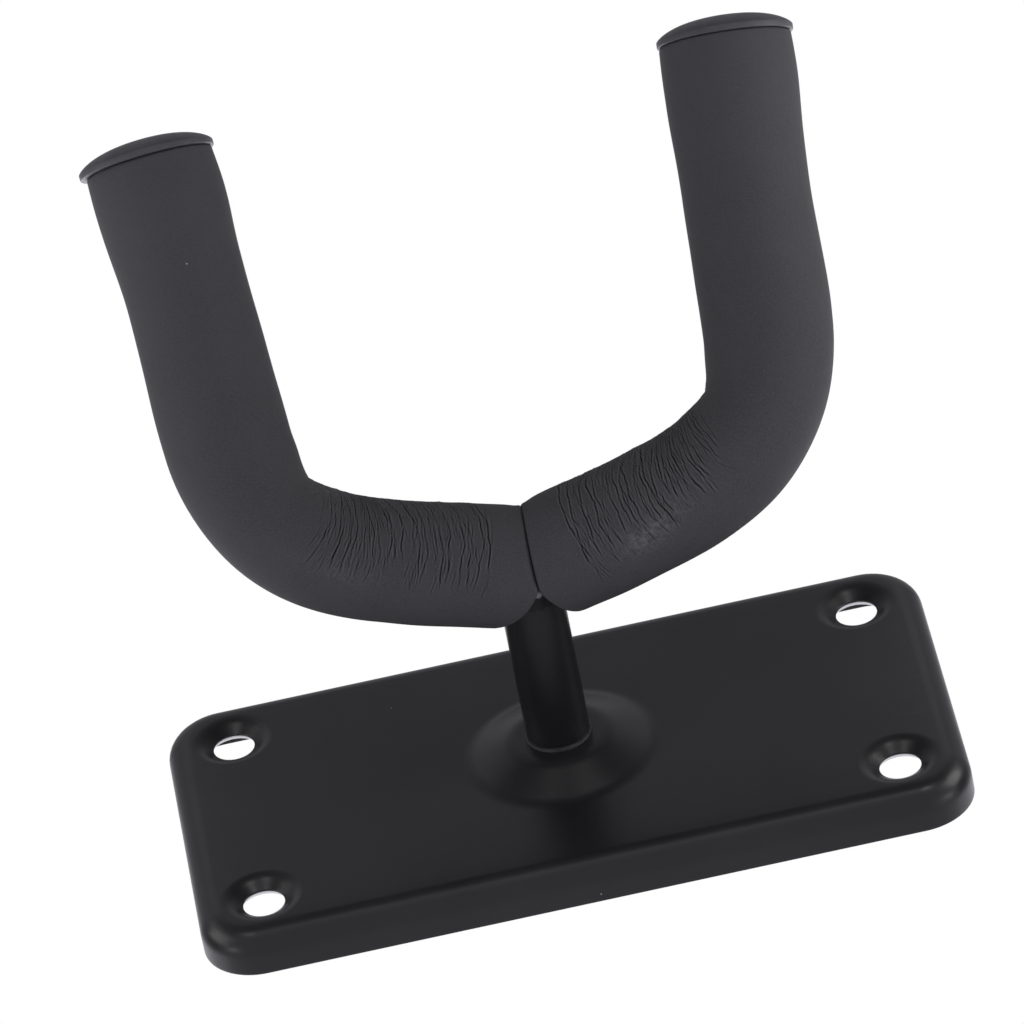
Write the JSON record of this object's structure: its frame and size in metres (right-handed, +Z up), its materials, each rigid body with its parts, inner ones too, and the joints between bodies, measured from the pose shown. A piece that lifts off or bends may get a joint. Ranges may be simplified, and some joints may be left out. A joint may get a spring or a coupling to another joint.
{
  "type": "wall guitar hanger",
  "caption": "Wall hanger with a pressed steel plate and a padded, upturned U-shaped yoke that swivels on a stem and holds a guitar by its head.",
  "frame": {"origin": "centre of the wall plate's back, in the plane of the wall, on the stem's axis", "axes": "+Z up the wall, -Y out of the wall along the stem, +Y into the wall, +X along the plate's length"},
  "size_m": [0.115, 0.1004, 0.0831],
  "materials": {
    "powder_coated_steel": "satin black powder coat",
    "nylon": "grey nylon",
    "zinc_plated_steel": "bright zinc plate",
    "weld_steel": "bare weld",
    "foam": "matte closed-cell foam",
    "cap_plastic": "satin moulded plastic"
  },
  "bodies": {
    "plate": {"wall_plate": "powder_coated_steel", "foot_washer": "nylon", "rear_washer": "zinc_plated_steel"},
    "yoke": {"stem": "powder_coated_steel", "spring_washer": "zinc_plated_steel", "lock_nut": "zinc_plated_steel", "yoke_rod": "powder_coated_steel", "weld_bead": "weld_steel", "foam_sleeve_left": "foam", "foam_sleeve_right": "foam", "end_cap_left": "cap_plastic", "end_cap_right": "cap_plastic"}
  },
  "joints": [
    {"name": "yoke_swivel", "type": "hinge", "parent": "plate", "child": "yoke", "pos_m": [0, -0.00975, 0], "axis": [0, -1, 0], "continuous": true}
  ]
}
